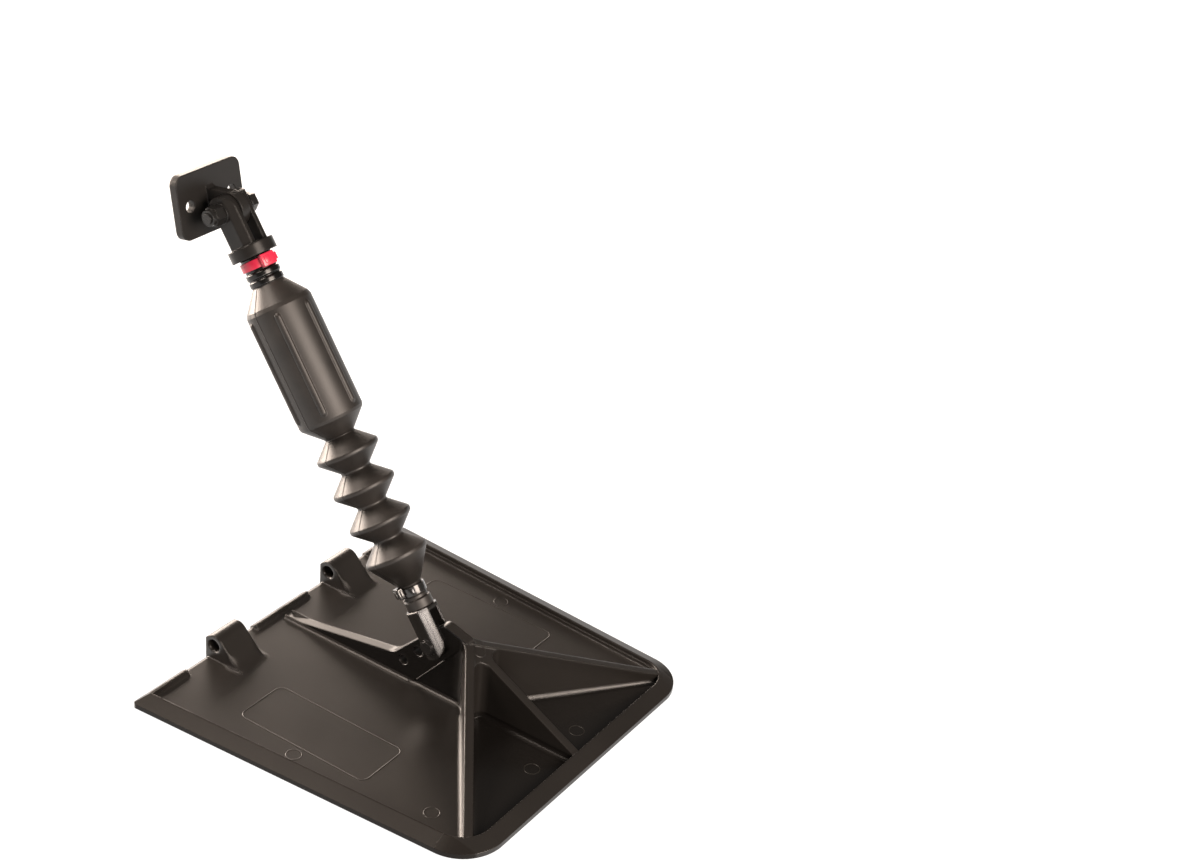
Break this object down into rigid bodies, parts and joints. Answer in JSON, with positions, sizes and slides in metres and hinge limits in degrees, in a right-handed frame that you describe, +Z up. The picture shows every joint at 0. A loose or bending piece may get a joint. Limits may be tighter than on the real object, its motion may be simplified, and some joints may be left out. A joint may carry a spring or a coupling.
{
  "type": "boat trim tab",
  "caption": "Self-levelling boat trim tab: ribbed tapered plate with hinge lugs, gas spring in a pleated rubber boot and a hinged transom bracket.",
  "frame": {"origin": "middle of the hinge axis, half way between the two hinge lugs", "axes": "+X along the hinge axis, +Y forward towards the transom, +Z up"},
  "size_m": [0.2538, 0.3027, 0.2892],
  "materials": {
    "tab_black": "satin moulded black polymer with soft warm sheen",
    "bracket_black": "satin moulded black polymer",
    "clevis_black": "polished black polymer with crisp edge highlights",
    "boot_rubber": "matte black rubber, faintly warm",
    "tie_red": "glossy red nylon",
    "tie_black": "glossy black nylon",
    "stainless": "fine brushed stainless steel",
    "bolt_black": "black coated stainless steel",
    "chromed_rod": "ground and chromed rod",
    "seal_rubber": "black nitrile rubber",
    "bush_brass": "plain turned bronze"
  },
  "bodies": {
    "tab": {"tab_plate": "tab_black"},
    "rod": {"lower_pin": "bolt_black", "lower_pin_clip": "stainless", "lower_clevis": "clevis_black", "piston_rod": "chromed_rod", "piston": "stainless", "piston_ring": "seal_rubber", "piston_nut": "stainless", "lower_boot_tie": "tie_black", "boot_foot": "boot_rubber", "boot_bellows": "boot_rubber"},
    "cylinder": {"cylinder_tube": "stainless", "rod_gland": "stainless", "rod_seal": "seal_rubber", "cylinder_plug": "stainless", "upper_yoke": "clevis_black", "upper_boot_tie": "tie_red", "boot_barrel": "boot_rubber", "upper_bolt": "bolt_black", "upper_nut": "bolt_black", "upper_washers": "bolt_black"},
    "bracket": {"bracket_bush": "bush_brass", "transom_bracket": "bracket_black"}
  },
  "joints": [
    {"name": "lower_pivot", "type": "hinge", "parent": "tab", "child": "rod", "pos_m": [0, -0.1206, 0.0263], "axis": [1, 0, 0], "range_deg": [-40, 30]},
    {"name": "gas_spring_stroke", "type": "slide", "parent": "rod", "child": "cylinder", "axis": [0, 0.5793, 0.8151], "range_m": [-0.048, 0], "stiffness_N_per_m": 150, "springref_m": 0.04, "deforming": ["boot_bellows"]},
    {"name": "upper_pivot", "type": "hinge", "parent": "cylinder", "child": "bracket", "pos_m": [0, 0.04293, 0.25641], "axis": [1, 0, 0], "range_deg": [-40, 60]}
  ]
}
